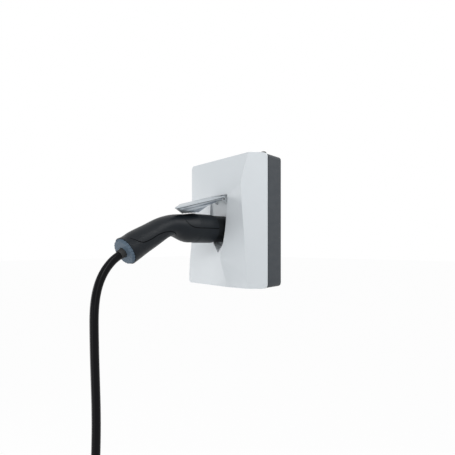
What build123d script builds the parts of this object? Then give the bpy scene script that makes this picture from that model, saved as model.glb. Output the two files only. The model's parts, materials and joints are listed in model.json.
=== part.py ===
from build123d import *
from math import cos, sin, tan, radians, pi
import os

os.makedirs("parts", exist_ok=True)

# Wall-mounted charging box with a faceted white cover, an open socket flap, the
# inserted charging plug and its cable. Millimetres, +Z up. The origin is the middle
# of the wall plate's screw pattern, on the wall. The box faces -Y.

# Box
box_width = 221
box_height = 272
corner_radius = 8
plate_thickness = 3
housing_depth = 44.5
shadow_gap = 2.5
skirt_depth = 3
nose_depth = 50
housing_wall = 3
cover_wall = 2.8
overrun = 5
seat_gap = 0.3
draft_angle = 1

housing_front = plate_thickness + housing_depth
cover_back = housing_front + shadow_gap
rim = cover_back + skirt_depth
half_width = box_width / 2
half_height = box_height / 2

# Socket and the opening that the flap closes
socket_rise = -15
socket_floor = 13
floor_thickness = 2.6
tray_wall = 2.5
opening_left = 31.8
opening_right = 29.8
opening_radius = 3
opening_edge_fall = 0.79
opening_tip_x = 18
opening_right_foot = 33

# Flap
hinge_out = 25.5
hinge_rise = 48
hinge_room = 9
flap_droop = 14.3
flap_left = 31
flap_right = 29
flap_back = 2
flap_rear_cut = 8
flap_length = 142
side_length_share = 0.5704
near_length_share = 0.831
flap_tip_x = 24
flap_corner = 3
skin_low = 4.3
skin_high = 6.7
knuckle_radius = 3.4
knuckle_width = 4
knuckle_spread = 19.6
pin_radius = 1.5
pin_clearance = 0.06
pin_length = 38
ear_radius = 3.4
ear_thickness = 5
ear_spread = 29

# Charging plug
collar_radius = 27.7
collar_wall = 2.5
collar_clearance = 0.6
collar_reach = 27
barrel_radius = 29.2
barrel_drop = 0.4
barrel_start = 51.4
barrel_length = 44.6
shell_wall = 2.6
seam = 0.25
power_radius = 3
signal_radius = 1.5
contact_clearance = 0.3
grip_length = 156.3
grip_droop = 28.8
grip_end_radius = 25.35

# Cable and its coil
cable_radius = 7.25
coil_radius = 80
coil_lanes = 3
tie_thickness = 1.6
tie_clearance = 0.3

front = Plane.XZ
side = Plane(origin=(0, -rim, 0), x_dir=(0, -1, 0), z_dir=(-1, 0, 0))


def out(q):
    """The plane parallel to the wall that lies q in front of the rim."""
    return front.offset(rim + q)


def save(piece, label):
    piece.part.label = label
    export_step(piece.part, f"parts/{label}.step")


# Wall plate
plate_width = 150
plate_height = 210
bolt_edge_x = 20
bolt_edge_z = 15
bolt_hole_radius = 3.25
window_edge_x = 30
window_edge_z = 65
hook_width = 20
hook_thickness = 2.5
hook_reach = 8
hook_lip = 6
hook_spread = 70
hook_edge = 6
hook_clearance = 0.5
bolt_spacing_x = plate_width - 2 * bolt_edge_x
bolt_spacing_z = plate_height - 2 * bolt_edge_z
plate_window_width = plate_width - 2 * window_edge_x
plate_window_height = plate_height - 2 * window_edge_z
hook_rise = plate_window_height / 2 + hook_edge

with BuildPart() as wall_plate:
    with BuildSketch(front):
        RectangleRounded(plate_width, plate_height, corner_radius)
        RectangleRounded(plate_window_width, plate_window_height, corner_radius, mode=Mode.SUBTRACT)
        with GridLocations(bolt_spacing_x, bolt_spacing_z, 2, 2):
            Circle(bolt_hole_radius, mode=Mode.SUBTRACT)
    extrude(amount=plate_thickness)
    with BuildSketch(front.offset(plate_thickness)):
        with Locations((-hook_spread / 2, hook_rise), (hook_spread / 2, hook_rise)):
            Rectangle(hook_width, hook_thickness)
    extrude(amount=hook_reach)
    with BuildSketch(front.offset(plate_thickness + hook_reach)):
        with Locations((-hook_spread / 2, hook_rise), (hook_spread / 2, hook_rise)):
            Rectangle(hook_width, hook_thickness + hook_lip, align=(Align.CENTER, Align.MIN))
    extrude(amount=-hook_thickness)
save(wall_plate, "wall_plate")

# Rear housing
side_step = 0.6
boss_radius = 5.5
boss_inset = 12.5
screw_radius = 2
screw_clearance = 0.2
screw_head_radius = 3.6
screw_head_height = 2.6
entry_side_gap = 28.5
entry_depth = 27
entry_radius = 10
blank_radius = 16
blank_rise = -8
rib_thickness = 2
rib_height = 5
rail_drop = 56
board_foot = 39
board_side_gap = 22.5
board_height = 62
board_thickness = 1.6
board_lift = 9
standoff_radius = 3.5
standoff_inset = 6

draft = housing_depth * tan(radians(draft_angle))
front_width = box_width - 2 * side_step
front_height = box_height - 2 * side_step
rail_rise = half_height - rail_drop
board_rise = board_foot - half_height
board_width = box_width - 2 * board_side_gap
boss_x = half_width - boss_inset
boss_z = half_height - boss_inset
back_wall = plate_thickness + housing_wall
entry_x = half_width - entry_side_gap


def tapered_box(inset, depth_from, depth_to):
    """A rounded box that narrows towards the wall, inset from the housing's outside."""
    with BuildPart() as body:
        for depth in (depth_from, depth_to):
            narrowing = (housing_front - depth) / housing_depth * draft + inset
            with BuildSketch(front.offset(depth)):
                RectangleRounded(
                    front_width - 2 * narrowing,
                    front_height - 2 * narrowing,
                    corner_radius - inset / 2,
                )
        loft(ruled=True)
    return body.part


with BuildPart() as rear_housing:
    add(tapered_box(0, plate_thickness, housing_front))
    add(tapered_box(housing_wall, back_wall, housing_front + overrun), mode=Mode.SUBTRACT)
    # Tubes for the cover's screws, from the back wall to the cover's posts
    with BuildSketch(front.offset(back_wall)):
        with GridLocations(2 * boss_x, 2 * boss_z, 2, 2):
            Circle(boss_radius)
    extrude(amount=cover_back - back_wall)
    with BuildSketch(front.offset(plate_thickness)):
        with GridLocations(2 * boss_x, 2 * boss_z, 2, 2):
            Circle(screw_radius + screw_clearance)
    extrude(amount=cover_back, mode=Mode.SUBTRACT)
    with BuildSketch(front.offset(plate_thickness)):
        with GridLocations(2 * boss_x, 2 * boss_z, 2, 2):
            Circle(screw_head_radius + screw_clearance)
    extrude(amount=screw_head_height + screw_clearance, mode=Mode.SUBTRACT)
    # Stiffening ribs on the back wall
    with BuildSketch(front.offset(back_wall)):
        with GridLocations(box_width / 2, box_height / 4, 2, 2):
            Rectangle(rib_thickness, box_height / 5)
        with Locations((0, board_rise + board_height)):
            Rectangle(box_width / 2, rib_thickness)
    extrude(amount=rib_height)
    # Board standoffs
    with BuildSketch(front.offset(back_wall)):
        with Locations((0, board_rise)):
            with GridLocations(board_width - 2 * standoff_inset, board_height - 2 * standoff_inset, 2, 2):
                Circle(standoff_radius)
    extrude(amount=board_lift)
    # Slots over the wall plate's hooks
    with BuildSketch(front.offset(plate_thickness)):
        with Locations((-hook_spread / 2, hook_rise), (hook_spread / 2, hook_rise)):
            with Locations((0, -hook_thickness / 2 - hook_clearance)):
                Rectangle(
                    hook_width + 2 * hook_clearance,
                    hook_lip + 2 * hook_thickness + 2 * hook_clearance,
                    align=(Align.CENTER, Align.MIN),
                )
    extrude(amount=housing_wall, mode=Mode.SUBTRACT)
    # Round entries: the supply cable's on top, a blanked one through the back
    with BuildSketch(Plane.XY.offset(half_height - boss_inset)):
        with Locations((entry_x, -entry_depth)):
            Circle(entry_radius)
    extrude(amount=boss_inset + overrun, mode=Mode.SUBTRACT)
    with BuildSketch(front.offset(plate_thickness)):
        with Locations((0, blank_rise)):
            Circle(blank_radius)
    extrude(amount=housing_wall, mode=Mode.SUBTRACT)
save(rear_housing, "rear_housing")

# Blanking plug in the rear entry
blank_flange = 3
blank_skin = 1.6
with BuildPart() as rear_blank:
    with BuildSketch(front.offset(plate_thickness)):
        with Locations((0, blank_rise)):
            Circle(blank_radius)
            Circle(blank_radius - blank_flange, mode=Mode.SUBTRACT)
    extrude(amount=housing_wall)
    with BuildSketch(front.offset(plate_thickness)):
        with Locations((0, blank_rise)):
            Circle(blank_radius - blank_flange)
    extrude(amount=blank_skin)
    with BuildSketch(front.offset(back_wall)):
        with Locations((0, blank_rise)):
            Circle(blank_radius + blank_flange)
            Circle(blank_radius - blank_flange, mode=Mode.SUBTRACT)
    extrude(amount=blank_skin)
save(rear_blank, "rear_blank")

# Membrane grommet of the supply entry, a rubber cone on the top
grommet_flange = 3
grommet_flange_height = 1.6
grommet_tip_height = 11.4
grommet_tip_radius = 5
grommet_bore = 7
grommet_ease = 0.25
housing_top = half_height - side_step - (housing_front - entry_depth) / housing_depth * draft
membrane = 1.4
with BuildPart() as top_grommet:
    with BuildSketch(Plane.XZ.offset(entry_depth)):
        with BuildLine():
            inner_foot = housing_top - housing_wall - grommet_ease
            outer_foot = housing_top + grommet_ease
            Polyline(
                (entry_x, housing_top + grommet_tip_height),
                (entry_x + grommet_tip_radius, housing_top + grommet_tip_height - membrane),
                (entry_x + entry_radius, housing_top + grommet_flange_height),
                (entry_x + entry_radius + grommet_flange, housing_top + grommet_flange_height),
                (entry_x + entry_radius + grommet_flange, outer_foot),
                (entry_x + entry_radius, outer_foot),
                (entry_x + entry_radius, inner_foot),
                (entry_x + entry_radius + grommet_flange, inner_foot),
                (entry_x + entry_radius + grommet_flange, inner_foot - grommet_flange_height),
                (entry_x + grommet_bore, inner_foot - grommet_flange_height),
                (entry_x + grommet_bore, housing_top + grommet_flange_height),
                (entry_x + grommet_tip_radius - membrane, housing_top + grommet_tip_height - 2 * membrane),
                (entry_x, housing_top + grommet_tip_height - 2 * membrane),
                close=True,
            )
        make_face()
    revolve(axis=Axis((entry_x, -entry_depth, 0), (0, 0, 1)))
save(top_grommet, "top_grommet")

# Gasket in the shadow gap between housing and cover
gasket_inset = 3.4
gasket_width = 3
with BuildPart() as cover_gasket:
    with BuildSketch(front.offset(housing_front)):
        RectangleRounded(box_width - 2 * gasket_inset, box_height - 2 * gasket_inset, corner_radius)
        RectangleRounded(
            box_width - 2 * gasket_inset - 2 * gasket_width,
            box_height - 2 * gasket_inset - 2 * gasket_width,
            corner_radius - gasket_width / 2,
            mode=Mode.SUBTRACT,
        )
    extrude(amount=shadow_gap)
save(cover_gasket, "cover_gasket")

# Front cover: three smooth surfaces meet in its creases. Each is ruled sideways
# between two upright curves. A row gives a height as a share of the box height, then
# how far the left edge stands out, how steeply the left surface rises from it, and how
# far the middle surface stands out at its near and far curves, as shares of the nose.
cover_shares = (
    (-0.06, 0.20, 0.060, 0.369, 0.510),
    (0.00, 0.18, 0.134, 0.558, 0.524),
    (0.08, 0.16, 0.203, 0.732, 0.545),
    (0.18, 0.13, 0.287, 0.939, 0.566),
    (0.215, 0.11, 0.310, 0.984, 0.572),
    (0.30, 0.05, 0.298, 0.890, 0.584),
    (0.50, 0.00, 0.235, 0.662, 0.640),
    (0.676, 0.00, 0.203, 0.572, 0.706),
    (0.77, 0.00, 0.194, 0.582, 0.734),
    (1.00, 0.00, 0.129, 0.600, 0.800),
    (1.06, 0.00, 0.118, 0.610, 0.820),
)
crease_x = 0.275 * half_width
far_x = 0.724 * half_width
bevel_slope = 0.924
inner_drop = 1.08 * cover_wall


def front_cutter(reach_shares, drop):
    """Everything in front of the surface ruled between two upright curves."""
    edges = []
    for x, shares in reach_shares:
        points = [
            Vector(x, -rim - share * nose_depth + drop, (up - 0.5) * box_height)
            for up, share in shares
        ]
        edges.append(Edge.make_spline(points, parameters=[up for up, _ in shares]))
    face = Face.make_surface_from_curves(edges[0], edges[1])
    return Solid.extrude(face, Vector(0, -3 * nose_depth, 0))


def left_curve(x):
    """The left surface's rise at x."""
    return x, [(up, edge + slope * (x + half_width) / nose_depth) for up, edge, slope, _, _ in cover_shares]


def middle_curve(x):
    """The middle surface's rise at x."""
    along = (x - crease_x) / (far_x - crease_x)
    return x, [(up, near + along * (far - near)) for up, _, _, near, far in cover_shares]


def cover_form(inset, drop, back):
    """The cover's solid outer form, or with an inset and a drop the room inside it."""
    reach = half_width + overrun
    with BuildPart() as form:
        with BuildSketch(front.offset(back)):
            RectangleRounded(box_width - 2 * inset, box_height - 2 * inset, corner_radius - inset / 2)
        extrude(amount=rim - back + 1.2 * nose_depth)
        add(front_cutter((left_curve(-reach), left_curve(reach)), drop), mode=Mode.SUBTRACT)
        add(front_cutter((middle_curve(-reach), middle_curve(reach)), drop), mode=Mode.SUBTRACT)
        with BuildSketch(Plane.XY.offset(-half_height - overrun)):
            with BuildLine():
                Polyline(
                    (half_width + overrun, drop - rim + overrun * bevel_slope),
                    (half_width - 2 * nose_depth, drop - rim - 2 * nose_depth * bevel_slope),
                    (half_width + overrun, drop - rim - 2 * nose_depth * bevel_slope),
                    close=True,
                )
            make_face()
        extrude(amount=box_height + 2 * overrun, mode=Mode.SUBTRACT)
    return form.part


# The opening's outline: its slanting lower edge just clears the plug's collar
collar_room = collar_radius + collar_clearance
slant = (1 + opening_edge_fall**2) ** 0.5
slant_start = socket_rise - slant * (collar_room + seat_gap)
opening_top = hinge_rise + hinge_room
opening_points = [
    (-opening_left, opening_top),
    (-opening_left, slant_start + opening_edge_fall * opening_left),
    (opening_tip_x, slant_start - opening_edge_fall * opening_tip_x),
    (opening_right, socket_rise - opening_right_foot),
    (opening_right, opening_top),
]


def ring_of_posts(radius):
    """Circles on the four screw axes of the cover."""
    with GridLocations(2 * boss_x, 2 * boss_z, 2, 2):
        Circle(radius)


def opening_prism(plane, grow, height):
    """The opening's outline, grown sideways, as a prism towards the front."""
    with BuildPart() as prism:
        with BuildSketch(plane) as outline:
            with BuildLine():
                Polyline(*opening_points, close=True)
            make_face()
            fillet(outline.vertices(), opening_radius)
            if grow > 0:
                offset(amount=grow)
        extrude(amount=height)
    return prism.part


post_radius = 5
outer_form = cover_form(0, 0, cover_back)
inner_form = cover_form(cover_wall, inner_drop, cover_back - overrun)

# The tray behind the flap, down to the floor that holds the socket
with BuildPart() as tray:
    add(opening_prism(out(socket_floor - floor_thickness), tray_wall, nose_depth))
    add(outer_form, mode=Mode.INTERSECT)

# Posts that take the cover's screws from behind
with BuildPart() as posts:
    with BuildSketch(front.offset(cover_back)):
        ring_of_posts(post_radius)
    extrude(amount=nose_depth)
    add(cover_form(cover_wall / 2, inner_drop / 2, cover_back), mode=Mode.INTERSECT)

with BuildPart() as front_cover:
    add(outer_form)
    add(inner_form, mode=Mode.SUBTRACT)
    add(tray.part)
    add(opening_prism(out(socket_floor), 0, 2 * nose_depth), mode=Mode.SUBTRACT)
    with BuildSketch(out(socket_floor)):
        with Locations((0, socket_rise)):
            Circle(collar_room)
    extrude(amount=-2 * floor_thickness, mode=Mode.SUBTRACT)
    # Two ears carry the flap's pin
    for x in (-ear_spread / 2, ear_spread / 2):
        with BuildSketch(side.offset(-x)):
            with Locations((hinge_out, hinge_rise)):
                Circle(ear_radius)
            with BuildLine():
                Polyline(
                    (socket_floor - floor_thickness / 2, hinge_rise + ear_radius),
                    (hinge_out, hinge_rise + ear_radius),
                    (hinge_out, hinge_rise - ear_radius),
                    (socket_floor - floor_thickness / 2, hinge_rise - 3 * ear_radius),
                    close=True,
                )
            make_face()
            with Locations((hinge_out, hinge_rise)):
                Circle(pin_radius + pin_clearance / 2, mode=Mode.SUBTRACT)
        extrude(amount=ear_thickness / 2, both=True)
    add(posts.part)
    with BuildSketch(front.offset(cover_back)):
        ring_of_posts(screw_radius + screw_clearance / 2)
    extrude(amount=skirt_depth, mode=Mode.SUBTRACT)
save(front_cover, "front_cover")

# Cover screws, driven from behind
screw_tip = cover_back + skirt_depth - seat_gap
with BuildPart() as cover_screws:
    with BuildSketch(front.offset(plate_thickness + screw_clearance)):
        ring_of_posts(screw_head_radius)
    extrude(amount=screw_head_height)
    with BuildSketch(front.offset(plate_thickness + screw_clearance)):
        ring_of_posts(screw_radius)
    extrude(amount=screw_tip - plate_thickness - screw_clearance)
    with BuildSketch(front.offset(plate_thickness + screw_clearance)):
        with GridLocations(2 * boss_x, 2 * boss_z, 2, 2):
            RegularPolygon(screw_radius, 6)
    extrude(amount=screw_head_height / 2, mode=Mode.SUBTRACT)
save(cover_screws, "cover_screws")

# Socket: a flanged tube behind the tray's floor, with the contact carrier in it
socket_wall = 2.4
socket_depth = 21
socket_back = 3
flange_size = 74
flange_thickness = 3
flange_hole_spacing = 62
flange_screw_radius = 1.75
carrier_radius = 24.4
carrier_recess = 7
bolt_out = -6
bolt_radius = 3
bolt_clearance = 0.4
gasket_thickness = 1
socket_face = socket_floor - floor_thickness - gasket_thickness
power_places = [(0, 0), (-14.6, 0), (14.6, 0), (-8, -13.6), (8, -13.6)]
signal_places = [(-6.8, 11.4), (6.8, 11.4)]


def socket_circle(radius, hole=0):
    with Locations((0, socket_rise)):
        Circle(radius)
        if hole:
            Circle(hole, mode=Mode.SUBTRACT)


def contacts(radius_power, radius_signal, mode=Mode.ADD):
    """One circle for each contact: five for power and earth, two for signals."""
    with Locations((0, socket_rise)):
        with Locations(*power_places):
            Circle(radius_power, mode=mode)
        with Locations(*signal_places):
            Circle(radius_signal, mode=mode)


with BuildPart() as socket_gasket:
    with BuildSketch(out(socket_face)):
        socket_circle(flange_size / 2 - socket_wall, collar_room)
    extrude(amount=gasket_thickness)
save(socket_gasket, "socket_gasket")

with BuildPart() as socket_body:
    with BuildSketch(out(socket_face)):
        with Locations((0, socket_rise)):
            RectangleRounded(flange_size, flange_size, corner_radius)
            Circle(collar_room, mode=Mode.SUBTRACT)
            with GridLocations(flange_hole_spacing, flange_hole_spacing, 2, 2):
                Circle(flange_screw_radius, mode=Mode.SUBTRACT)
    extrude(amount=-flange_thickness)
    with BuildSketch(out(socket_face)):
        socket_circle(collar_room + socket_wall, collar_room)
    extrude(amount=-socket_face - socket_depth)
    with BuildSketch(out(-socket_depth)):
        socket_circle(collar_room + socket_wall, carrier_radius + seat_gap)
    extrude(amount=socket_back)
    # The lock bolt's hole through the top of the tube
    with BuildSketch(Plane.XY.offset(socket_rise)):
        with Locations((0, -rim - bolt_out)):
            Circle(bolt_radius + bolt_clearance)
    extrude(amount=collar_room + 2 * socket_wall, mode=Mode.SUBTRACT)
save(socket_body, "socket_body")

carrier_foot = 2
bolt_travel = 5
tube_top = socket_rise + collar_room + socket_wall
bolt_tip = tube_top - socket_wall + seat_gap
with BuildPart() as socket_carrier:
    with BuildSketch(out(socket_floor - carrier_recess)):
        socket_circle(carrier_radius)
        contacts(power_radius + contact_clearance, signal_radius + contact_clearance, Mode.SUBTRACT)
    extrude(amount=-(socket_floor - carrier_recess) - socket_depth)
    with BuildSketch(out(-socket_depth)):
        socket_circle(carrier_radius + carrier_foot)
        contacts(power_radius + contact_clearance, signal_radius + contact_clearance, Mode.SUBTRACT)
    extrude(amount=-carrier_foot)
    # Room for the lock bolt's tip at the end of its stroke
    with BuildSketch(Plane.XY.offset(bolt_tip - bolt_travel - seat_gap)):
        with Locations((0, -rim - bolt_out)):
            Circle(bolt_radius + bolt_clearance)
    extrude(amount=collar_room, mode=Mode.SUBTRACT)
save(socket_carrier, "socket_carrier")

# Contact sleeves: they fill the carrier's bores behind the plug's pins
pin_depth = socket_floor - collar_reach
with BuildPart() as socket_contacts:
    with BuildSketch(out(-socket_depth - carrier_foot)):
        contacts(power_radius + contact_clearance, signal_radius + contact_clearance)
    extrude(amount=socket_depth + carrier_foot + pin_depth - seat_gap)
    with BuildSketch(out(-socket_depth - carrier_foot)):
        contacts(power_radius, signal_radius)
    extrude(amount=-2 * carrier_foot)
save(socket_contacts, "socket_contacts")

with BuildPart() as socket_screws:
    with BuildSketch(out(socket_face - flange_thickness)):
        with Locations((0, socket_rise)):
            with GridLocations(flange_hole_spacing, flange_hole_spacing, 2, 2):
                Circle(screw_head_radius)
    extrude(amount=-screw_head_height)
    with BuildSketch(out(socket_face - flange_thickness)):
        with Locations((0, socket_rise)):
            with GridLocations(flange_hole_spacing, flange_hole_spacing, 2, 2):
                Circle(flange_screw_radius - screw_clearance)
    extrude(amount=flange_thickness + gasket_thickness)
save(socket_screws, "socket_screws")

# Lock: a motor housing above the socket drives a bolt into the plug's collar
actuator_width = 30
actuator_height = 34
actuator_depth = 22
actuator_wall = 2
bolt_length = 26
with BuildPart() as lock_actuator:
    with BuildSketch(Plane.XY.offset(tube_top + seat_gap)):
        with Locations((0, -rim - bolt_out)):
            RectangleRounded(actuator_width, actuator_depth, 2 * actuator_wall)
            Circle(bolt_radius + bolt_clearance, mode=Mode.SUBTRACT)
    extrude(amount=actuator_height)
    with BuildSketch(Plane.XY.offset(tube_top + seat_gap + actuator_height - bolt_clearance)):
        with Locations((0, -rim - bolt_out)):
            Circle(bolt_radius + bolt_clearance)
    extrude(amount=bolt_clearance)
save(lock_actuator, "lock_actuator")

with BuildPart() as lock_bolt:
    with BuildSketch(Plane.XY.offset(bolt_tip)):
        with Locations((0, -rim - bolt_out)):
            Circle(bolt_radius)
    extrude(amount=bolt_length)
    chamfer(lock_bolt.faces().sort_by(Axis.Z)[0].edges(), bolt_clearance)
save(lock_bolt, "lock_bolt")

# Flap, modelled open: along runs down its length from the hinge, rise is square to it
droop = radians(flap_droop)
flap_plane = Plane(
    origin=(0, -rim - hinge_out, hinge_rise), x_dir=(1, 0, 0), z_dir=(0, -sin(droop), cos(droop))
)


def flap_point(along, rise):
    """A point of the flap's side view, in the side plane."""
    return (
        hinge_out + along * cos(droop) + rise * sin(droop),
        hinge_rise - along * sin(droop) + rise * cos(droop),
    )


def flap_outline(inset):
    Polyline(
        (-flap_left + inset, flap_back - inset),
        (flap_right - inset, -flap_rear_cut - inset),
        (flap_right - inset, -near_length_share * flap_length),
        (flap_tip_x - inset / 2, -flap_length + 1.6 * inset),
        (-flap_left + inset, -side_length_share * flap_length + inset / 2),
        close=True,
    )


def flap_prism(inset, low, high, corner):
    """The flap's outline, inset from its edge, between two rises."""
    with BuildPart() as prism:
        with BuildSketch(flap_plane.offset(low)) as outline:
            with BuildLine():
                flap_outline(inset)
            make_face()
            fillet(outline.vertices(), corner)
        extrude(amount=high - low)
    return prism.part


skin_edge = 0.8
with BuildPart() as flap_skin:
    add(flap_prism(0, skin_low, skin_high, flap_corner))
    chamfer(flap_skin.faces().sort_by(Axis(flap_plane.origin, flap_plane.z_dir))[-1].edges(), skin_edge)
save(flap_skin, "flap_skin")

core_inset = 2.2
core_wall = 1.8
core_start = 10
core_end = 136
core_foot = 87
core_depth = 12.6
core_bend = 60
core_bend_depth = 5
core_seat = 0.6
core_top = skin_low - core_seat
rib_pitch = 9
groove_depth = 0.8
groove_shares = (0.22, 0.48, 0.74)
groove_half_share = 0.07
seal_inset = 0.9
seal_ease = 0.1


with BuildPart() as core_blank:
    with BuildSketch(side):
        with BuildLine():
            Polyline(
                flap_point(core_start, skin_low),
                flap_point(core_start, core_top - core_wall),
                flap_point(core_bend, -core_bend_depth),
                flap_point(core_foot, -core_depth),
                flap_point(core_end, core_top),
                flap_point(core_end, skin_low),
                close=True,
            )
        make_face()
    extrude(amount=flap_left, both=True)
    add(flap_prism(core_inset, -nose_depth, skin_low, flap_corner), mode=Mode.INTERSECT)

rib_count = int((flap_left + flap_right - 2 * core_inset) / rib_pitch)
with BuildPart() as core_cells:
    with BuildSketch(side):
        with BuildLine():
            Polyline(
                flap_point(core_start + core_wall, core_top - core_wall),
                flap_point(core_start + core_wall, -2 * core_depth),
                flap_point(core_end - core_wall, -2 * core_depth),
                flap_point(core_end - core_wall, core_top - core_wall),
                close=True,
            )
        make_face()
    extrude(amount=flap_left, both=True)
    add(flap_prism(core_inset + core_wall, -nose_depth, skin_low, flap_corner), mode=Mode.INTERSECT)
    for number in range(1, rib_count):
        with BuildSketch(side.offset(flap_left - core_inset - number * rib_pitch)):
            with BuildLine():
                Polyline(
                    flap_point(0, 2 * core_depth),
                    flap_point(0, -2 * core_depth),
                    flap_point(flap_length, -2 * core_depth),
                    flap_point(flap_length, 2 * core_depth),
                    close=True,
                )
            make_face()
        extrude(amount=core_wall / 2, both=True, mode=Mode.SUBTRACT)

with BuildPart() as flap_core:
    add(core_blank.part)
    add(core_cells.part, mode=Mode.SUBTRACT)
    # Knuckles on the pin, each with a web to the body
    for x in (-knuckle_spread / 2, knuckle_spread / 2):
        with BuildSketch(side.offset(-x)):
            with Locations((hinge_out, hinge_rise)):
                Circle(knuckle_radius)
            with BuildLine():
                Polyline(
                    flap_point(0, knuckle_radius),
                    flap_point(core_start, core_top),
                    flap_point(core_start + core_wall, skin_low),
                    flap_point(core_start + core_wall, core_top - core_wall),
                    flap_point(0, -knuckle_radius),
                    close=True,
                )
            make_face()
            with Locations((hinge_out, hinge_rise)):
                Circle(pin_radius + pin_clearance, mode=Mode.SUBTRACT)
        extrude(amount=knuckle_width / 2, both=True)
    # Grooves that fan out from the tip along the two side walls
    for x in (flap_right - core_inset - groove_depth, -flap_left + core_inset + groove_depth):
        outward = -1 if x > 0 else 1
        with BuildSketch(side.offset(-x)):
            for share in groove_shares:
                with BuildLine():
                    Polyline(
                        flap_point(core_end, core_top),
                        flap_point(core_foot, -core_depth * (share - groove_half_share)),
                        flap_point(core_start, core_top - core_wall * share),
                        flap_point(core_foot, -core_depth * (share + groove_half_share)),
                        close=True,
                    )
                make_face()
        extrude(amount=outward * overrun, mode=Mode.SUBTRACT)
save(flap_core, "flap_core")

with BuildPart() as flap_seal:
    add(flap_prism(seal_inset, core_top, skin_low, flap_corner))
    add(flap_prism(core_inset - seal_ease, core_top - overrun, skin_high, flap_corner), mode=Mode.SUBTRACT)
save(flap_seal, "flap_seal")

with BuildPart() as flap_pin:
    with BuildSketch(side):
        with Locations((hinge_out, hinge_rise)):
            Circle(pin_radius)
    extrude(amount=pin_length / 2, both=True)
    chamfer(flap_pin.edges().filter_by(GeomType.CIRCLE), pin_radius / 4)
save(flap_pin, "flap_pin")

spring_radius = 2.4
spring_wire = 0.4
spring_pitch = 2
spring_length = 12
with BuildPart() as flap_spring:
    with BuildLine():
        spring_path = Helix(
            spring_pitch,
            spring_length,
            spring_radius,
            center=(-spring_length / 2, -rim - hinge_out, hinge_rise),
            direction=(1, 0, 0),
        )
    with BuildSketch(Plane(origin=spring_path @ 0, z_dir=spring_path % 0)):
        Circle(spring_wire)
    sweep()
save(flap_spring, "flap_spring")

# Hand-held plugs. Both have one form: a barrel, a waist and a grip that droops. A row
# gives a section's place behind the barrel and above its axis as shares of the grip's
# length, its tilt as a share of the droop, and its width and height as shares of the
# barrel's diameter.
section_shares = (
    (0.102, -0.001, 0, 0.976, 0.969),
    (0.230, 0.006, 0.104, 0.890, 0.860),
    (0.358, 0.019, 0.417, 0.813, 0.723),
    (0.467, -0.001, 0.903, 0.779, 0.700),
    (0.627, -0.079, 1, 0.796, 0.757),
    (0.782, -0.159, 1, 0.825, 0.810),
    (0.891, -0.219, 1, 0.849, 0.842),
)
end_rise_share = -0.280
barrel_end = barrel_start + barrel_length
end_reach = barrel_end + grip_length
end_rise = end_rise_share * grip_length - barrel_drop
hand_sections = [(barrel_end, -barrel_drop, 0, 2 * barrel_radius, 2 * barrel_radius)]
for reach_share, rise_share, tilt_share, width_share, height_share in section_shares:
    hand_sections.append(
        (
            barrel_end + reach_share * grip_length,
            rise_share * grip_length - barrel_drop,
            tilt_share * grip_droop,
            width_share * 2 * barrel_radius,
            height_share * 2 * barrel_radius,
        )
    )
hand_sections.append((end_reach, end_rise, grip_droop, 2 * grip_end_radius, 2 * grip_end_radius))


def leaning(reach, rise, tilt):
    """A section plane of the plug that faces along its axis, away from the wall."""
    lean = radians(tilt)
    return Plane(
        origin=(0, -rim - reach, socket_rise + rise), x_dir=(1, 0, 0), z_dir=(0, -cos(lean), -sin(lean))
    )


def hand_form(inset, front_inset, beyond):
    """The plug's outer form, or its hollow when inset by a wall."""
    with BuildPart() as handle:
        for reach, rise, tilt, width, height in hand_sections:
            with BuildSketch(leaning(reach, rise, tilt)):
                if width == height:
                    Circle(width / 2 - inset)
                else:
                    Ellipse(width / 2 - inset, height / 2 - inset)
        if beyond > 0:
            with BuildSketch(leaning(*hand_sections[-1][:3]).offset(beyond)):
                Circle(grip_end_radius - inset)
        loft()
    with BuildPart() as form:
        with BuildSketch(leaning(barrel_start + front_inset, -barrel_drop, 0)):
            Circle(barrel_radius - inset)
        extrude(amount=barrel_length - front_inset)
        add(handle.part)
    return form.part


# The lower grip's wavy parting line and the cap's rear edge, from the side: shares of
# the grip's length, behind the barrel's end and above its axis
wave_shares = (
    (0.205, -0.253),
    (0.301, -0.138),
    (0.384, -0.072),
    (0.505, -0.057),
    (0.646, -0.089),
    (0.787, -0.157),
    (0.896, -0.181),
    (1.062, -0.113),
)
cap_shares = ((0.102, 0), (0.192, 0.025), (0.246, 0.079), (0.256, 0.137), (0.230, 0.233))
hand_span = 2 * grip_length


def side_prism(shares, corners, shift, lift):
    """A prism across the plug from its side view: a curve closed by straight lines."""
    axis_rise = socket_rise - barrel_drop
    curve = [
        (barrel_end + along * grip_length + shift, axis_rise + up * grip_length + lift)
        for along, up in shares
    ]
    with BuildPart() as prism:
        with BuildSketch(side):
            with BuildLine():
                Spline(*curve)
                Polyline(curve[-1], *corners(curve[0], curve[-1]), curve[0])
            make_face()
        extrude(amount=2 * barrel_radius, both=True)
    return prism.part


def grip_prism(lift):
    """All below the wavy line, lifted to leave a seam."""
    return side_prism(
        wave_shares,
        lambda start, end: ((hand_span, end[1]), (hand_span, -hand_span), (start[0], -hand_span)),
        0,
        lift,
    )


def cap_prism(shift):
    """The upper half of the barrel, back to the curved edge, moved to leave a seam."""
    return side_prism(cap_shares, lambda start, end: ((0, end[1]), (0, start[1])), shift, -shift)


carrier_flange = 2
carrier_gap = 0.1
plug_face = 8
plug_carrier_radius = collar_radius - collar_wall - carrier_gap
hollow_front = barrel_start + shell_wall
pin_chamfer = 0.8
pin_inset = 1.5
pin_length_total = 54
lock_hole_radius = 4.2
end_gap = 0.2
end_thickness = 5
end_spigot = 5
end_taper = 20
end_teeth = 24
end_tooth_radius = 0.9
bush_radius = 8.9
bush_length = 9
bush_tip_radius = 7.9
end_plane = leaning(end_reach, end_rise, grip_droop)

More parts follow.
